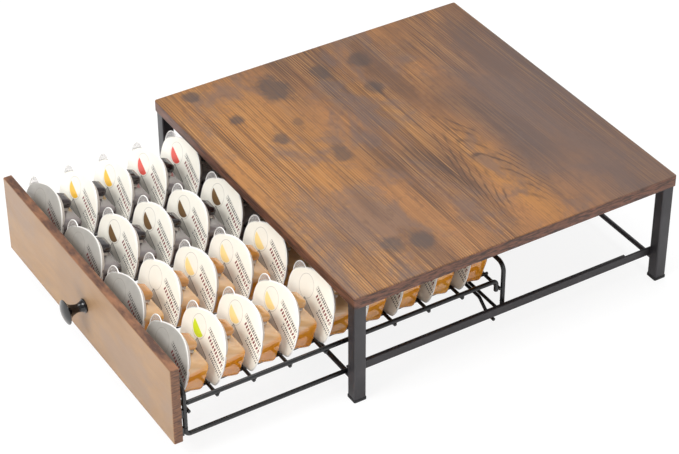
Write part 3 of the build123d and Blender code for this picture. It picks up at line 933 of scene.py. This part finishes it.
for node in ("side_rail_left", "side_rail_right", "leg_plates"):
    softened(node, "stand", charcoal_paint, "charcoal_steel", 0.00025)
softened("foot_plugs", "stand", foot_plastic, "black_plastic", 0.0005)
softened("front_tabs", "drawer", black_paint, "black_wire", 0.0004)


# Turned pieces, from profiles of (reach, height) pairs
def axes_round(axis):
    """The axis and two directions across it."""
    axis = Vector(axis)
    across = axis.orthogonal().normalized()
    return axis, across, axis.cross(across)


def turned(bm, profile, place, axis, sides):
    """A closed profile turned about the axis from the place."""
    axis, across, other = axes_round(axis)
    rings = []
    for reach, height in profile:
        middle = Vector(place) + axis * height
        if reach == 0:
            rings.append([bm.verts.new(middle)] * sides)
        else:
            rings.append(circle(bm, middle, reach, across, other, sides))
    join_rings(bm, rings)


def arc(middle, radius, start, end, cuts):
    turns = [radians(start + (end - start) * k / cuts) for k in range(cuts + 1)]
    return [(middle[0] + radius * cos(turn), middle[1] + radius * sin(turn)) for turn in turns]


def arc_through(first, middle, last, cuts=18):
    """Points on the circle through three points, from the first to the last."""
    a, b, c = (Vector(p) for p in (first, middle, last))
    twice = 2 * ((a.x * (b.y - c.y)) + b.x * (c.y - a.y) + c.x * (a.y - b.y))
    squares = [p.length_squared for p in (a, b, c)]
    centre = Vector((
        (squares[0] * (b.y - c.y) + squares[1] * (c.y - a.y) + squares[2] * (a.y - b.y)) / twice,
        (squares[0] * (c.x - b.x) + squares[1] * (a.x - c.x) + squares[2] * (b.x - a.x)) / twice,
    ))
    reach = (a - centre).length
    points = []
    for k in range(cuts + 1):
        spoke = (a - centre).normalized().slerp((c - centre).normalized(), k / cuts)
        points.append(tuple(centre + spoke.normalized() * reach))
    return points


knob_low, knob_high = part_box("knob")
knob_reach = knob_high.y - knob_low.y
knob_radius = (knob_high.x - knob_low.x) / 2
knob_place = Vector((0, knob_high.y, (knob_low.z + knob_high.z) / 2))
COLLAR_RADIUS = 0.007
COLLAR_HEIGHT = 0.0018
COLLAR_TOP = (COLLAR_RADIUS - 0.0006, COLLAR_HEIGHT)
WAIST = (0.0043, 0.0066)
FLARE_START = (0.005, 0.012)
FLARE_MIDDLE = (0.0076, 0.0166)
DOME_HEIGHT = 0.003
DOME_STEPS = 16
RIM_LAND = 0.0003
RIM_ROUND = 0.0004


def knob_profile():
    """Collar, waist, flared underside, thin rim and a low dome."""
    rim = knob_reach - DOME_HEIGHT
    flare_end = (knob_radius - RIM_ROUND, rim - 2 * RIM_ROUND)
    profile = [(0, 0), (COLLAR_RADIUS - RIM_ROUND, 0), (COLLAR_RADIUS, RIM_ROUND)]
    profile += arc((COLLAR_RADIUS - RIM_ROUND, COLLAR_HEIGHT - RIM_ROUND), RIM_ROUND, 0, 90, 5)
    profile += arc_through(COLLAR_TOP, WAIST, FLARE_START)[1:]
    profile += arc_through(FLARE_START, FLARE_MIDDLE, flare_end)[1:]
    profile += arc((knob_radius - RIM_ROUND, rim - RIM_ROUND), RIM_ROUND, -70, 70, 6)
    flat = knob_radius - RIM_LAND
    sphere = (flat * flat + DOME_HEIGHT * DOME_HEIGHT) / (2 * DOME_HEIGHT)
    for k in range(1, DOME_STEPS + 1):
        reach = flat * (1 - k / DOME_STEPS)
        profile.append((reach, knob_reach - sphere + (sphere * sphere - reach * reach) ** 0.5))
    return profile


bm = bmesh.new()
turned(bm, knob_profile(), knob_place, (0, -1, 0), 64)
piece_from(bm, "knob_turned", "drawer", knob_lacquer, "gloss_black", "knob", sharp=50)

# Screws
THREAD_PITCH = 0.0012
SOFT_EDGE = 0.0002
BLADE_SHARE = 0.2


def pan_head(radius, height):
    """Underside, rounded edge and a low crown."""
    profile = [(0, 0), (radius - SOFT_EDGE, 0), (radius, SOFT_EDGE)]
    profile += arc((radius - height * 0.55, height * 0.45), height * 0.55, 0, 80, 8)
    return profile + [(radius * 0.4, height * 0.985), (0, height)]


def thread_profile(radius, shank, lift):
    """A shank with a shallow thread, from its end up to the head."""
    core = radius * 0.82
    profile = [(0, -shank - lift)]
    for k in range(int(shank / THREAD_PITCH)):
        level = -shank - lift + THREAD_PITCH / 2 + k * THREAD_PITCH
        profile += [(core, level), (radius, level + THREAD_PITCH / 3)]
    return profile + [(core, -lift - 0.0001), (0, -lift)]


def washer_profile(radius, height):
    return [
        (0, 0), (radius - SOFT_EDGE, 0), (radius, SOFT_EDGE), (radius, height - SOFT_EDGE),
        (radius - SOFT_EDGE, height), (0, height),
    ]


def add_blade(bm, place, axis, one, two, size, levels):
    """A bar across a screw head; a level is a height and the reach of the bar there."""
    loops = []
    for level, reach in levels:
        middle = place + axis * level
        loops.append([
            bm.verts.new(middle + one * reach * a + two * size * BLADE_SHARE * b)
            for a, b in ((1, 1), (-1, 1), (-1, -1), (1, -1))
        ])
    join_rings(bm, loops)
    bm.faces.new(loops[0])
    bm.faces.new(loops[1][::-1])


def cross_recess(name, places, axis, size, depth, height):
    """Blades of a cross point standing at each place, tapered to the bottom."""
    bm = bmesh.new()
    axis, across, other = axes_round(axis)
    levels = ((height + 0.0004, size), (height - depth, size * 0.45))
    for place in places:
        for one, two in ((across, other), (other, across)):
            add_blade(bm, place, axis, one, two, size, levels)
    bmesh.ops.recalc_face_normals(bm, faces=bm.faces)
    mesh = bpy.data.meshes.new(name)
    bm.to_mesh(mesh)
    bm.free()
    return placed(name, mesh)


def cut_out(piece, cutter):
    """The cutter taken out of the piece for good."""
    cut = piece.modifiers.new("recess", "BOOLEAN")
    cut.operation = "DIFFERENCE"
    cut.solver = "EXACT"
    cut.use_self = True
    cut.object = cutter
    bpy.context.view_layer.update()
    depsgraph = bpy.context.evaluated_depsgraph_get()
    cut_mesh = bpy.data.meshes.new_from_object(piece.evaluated_get(depsgraph))
    piece.modifiers.clear()
    piece.data = cut_mesh
    bpy.data.objects.remove(cutter)


def screws(node, body, places, axis, head_radius, head_height, shank_radius, shank, washer=None):
    """Cross-head screws; each place is on the face under the head and the axis points out of the head."""
    bm = bmesh.new()
    lift = washer[1] if washer else 0
    lifted = [Vector(place) + Vector(axis) * lift for place in places]
    for place, under_head in zip(places, lifted):
        turned(bm, pan_head(head_radius, head_height), under_head, axis, 32)
        turned(bm, thread_profile(shank_radius, shank, lift), under_head, axis, 20)
        if washer:
            turned(bm, washer_profile(*washer), place, axis, 40)
    piece = piece_from(bm, node + "_cross_head", body, zinc, "screw_steel", node, sharp=50)
    depth = head_height * 0.6
    cut_out(piece, cross_recess(node + "_recess", lifted, axis, head_radius * 0.55, depth, head_height))
    return piece


plates_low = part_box("leg_plates")[0]
screw_low, screw_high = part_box("board_screws")
BOARD_HEAD = 0.0035
BOARD_SHANK = 0.00175
TAB_HEAD = 0.0032
TAB_SHANK = 0.0016
KNOB_SCREW_HEAD = 0.004
KNOB_SCREW_SHANK = 0.002
WASHER_THICKNESS = 0.001
board_screw_places = [
    (x, y, plates_low.z) for x in (screw_low.x + BOARD_HEAD, screw_high.x - BOARD_HEAD)
    for y in (screw_low.y + BOARD_HEAD, screw_high.y - BOARD_HEAD)
]
screws(
    "board_screws", "stand", board_screw_places, (0, 0, -1), BOARD_HEAD,
    plates_low.z - screw_low.z, BOARD_SHANK, screw_high.z - plates_low.z,
)
tabs_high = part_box("front_tabs")[1]
tab_low, tab_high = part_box("tab_screws")
tab_screw_places = [
    (x, tabs_high.y, z) for x in (tab_low.x + TAB_HEAD, tab_high.x - TAB_HEAD)
    for z in (tab_low.z + TAB_HEAD, tab_high.z - TAB_HEAD)
]
screws(
    "tab_screws", "drawer", tab_screw_places, (0, 1, 0), TAB_HEAD,
    tab_high.y - tabs_high.y, TAB_SHANK, tabs_high.y - tab_low.y,
)
knob_screw_low, knob_screw_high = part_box("knob_screw")
washer_radius = (knob_screw_high.x - knob_screw_low.x) / 2
screws(
    "knob_screw", "drawer", [(0, front_high.y, knob_place.z)], (0, 1, 0), KNOB_SCREW_HEAD,
    knob_screw_high.y - front_high.y - WASHER_THICKNESS, KNOB_SCREW_SHANK,
    front_high.y - knob_screw_low.y, (washer_radius, WASHER_THICKNESS),
)


# Camera placed as in the photograph
CAMERA_PLACE = Vector((1.5030, -0.9007, 1.3452))
CAMERA_AHEAD = Vector((-0.6868, 0.4198, -0.5934))
CAMERA_ROLL = radians(-0.264)
camera_data = bpy.data.cameras.new("camera")
camera_data.lens = 118.23
camera_data.sensor_width = 36
camera_data.sensor_fit = "HORIZONTAL"
camera_data.shift_x = 0.00165
camera_data.shift_y = -0.00196
camera = placed("camera", camera_data)
camera.matrix_world = (
    Matrix.Translation(CAMERA_PLACE)
    @ CAMERA_AHEAD.to_track_quat("-Z", "Y").to_matrix().to_4x4()
    @ Matrix.Rotation(CAMERA_ROLL, 4, "Z")
)
bpy.context.scene.camera = camera


# White floor that keeps the shadow, and a white surround
SEEN_WHITE = 0.85
WHITE_STRENGTH = 1.02
FLOOR_HALF = 9.0
RISE_AT = 5.0
RISE_RADIUS = 1.5
RISE_TOP = 6.0
RISE_TURN = radians(58.6)


def seen_white(n, lit, white):
    """Camera and glass rays see mostly the plain white; other rays see the lit surface."""
    rays = n.new("ShaderNodeLightPath").outputs
    seen = n.math("MAXIMUM", rays["Is Camera Ray"], rays["Is Transmission Ray"])
    inputs = {"Fac": n.times(seen, SEEN_WHITE), 1: lit.outputs["BSDF"], 2: white.outputs["Emission"]}
    mixed = n.new("ShaderNodeMixShader", inputs)
    n.put(n.output.inputs["Surface"], mixed.outputs["Shader"])


def floor_material():
    n = Nodes("studio_floor")
    speck = n.noise(n.coords(), 90.0)
    tone = n.mix(speck, linear(250, 250, 250), linear(254, 254, 254))
    lit = n.principled(Base_Color=tone, Roughness=0.9, Specular_IOR_Level=0.0)
    seen_white(n, lit, n.new("ShaderNodeEmission", {"Strength": WHITE_STRENGTH}))
    return n.material


def studio_floor():
    """A broad floor that curves up far behind the object."""
    bm = bmesh.new()
    profile = [(-FLOOR_HALF, 0.0), (RISE_AT, 0.0)]
    for k in range(1, 16):
        turn = radians(6 * k)
        profile.append((RISE_AT + RISE_RADIUS * sin(turn), RISE_RADIUS - RISE_RADIUS * cos(turn)))
    profile.append((RISE_AT + RISE_RADIUS, RISE_TOP))
    rows = [[bm.verts.new((x, y, z)) for y, z in profile] for x in (-FLOOR_HALF, FLOOR_HALF)]
    for k in range(len(profile) - 1):
        bm.faces.new((rows[0][k], rows[1][k], rows[1][k + 1], rows[0][k + 1]))
    mesh = bpy.data.meshes.new("studio_floor")
    bm.to_mesh(mesh)
    bm.free()
    mesh.materials.append(floor_material())
    floor = placed("studio_floor", mesh)
    floor.rotation_euler.z = RISE_TURN


studio_floor()

world = bpy.data.worlds.new("studio")
world.use_nodes = True
bpy.context.scene.world = world
backdrop = world.node_tree.nodes["Background"]
backdrop.inputs["Color"].default_value = (1, 1, 1, 1)
backdrop.inputs["Strength"].default_value = 0.55

LAMP_TARGET = Vector((0, 0, 0.06))


def lamp(name, place, side, power):
    """A square lamp of the given side in metres and power in watts, turned to the object."""
    data = bpy.data.lights.new(name, "AREA")
    data.shape = "RECTANGLE"
    data.size, data.size_y = side, side
    data.energy = power
    light = placed(name, data)
    light.location = place
    light.rotation_euler = (LAMP_TARGET - Vector(place)).to_track_quat("-Z", "Y").to_euler()


lamp("key_above", (-0.4, 0.1, 2.2), 1.6, 33)
lamp("front_high", (0.2, -2.0, 2.0), 1.1, 49)
lamp("side_fill", (2.4, 0.3, 1.0), 1.0, 9)

scene = bpy.context.scene
scene.view_settings.view_transform = "Standard"
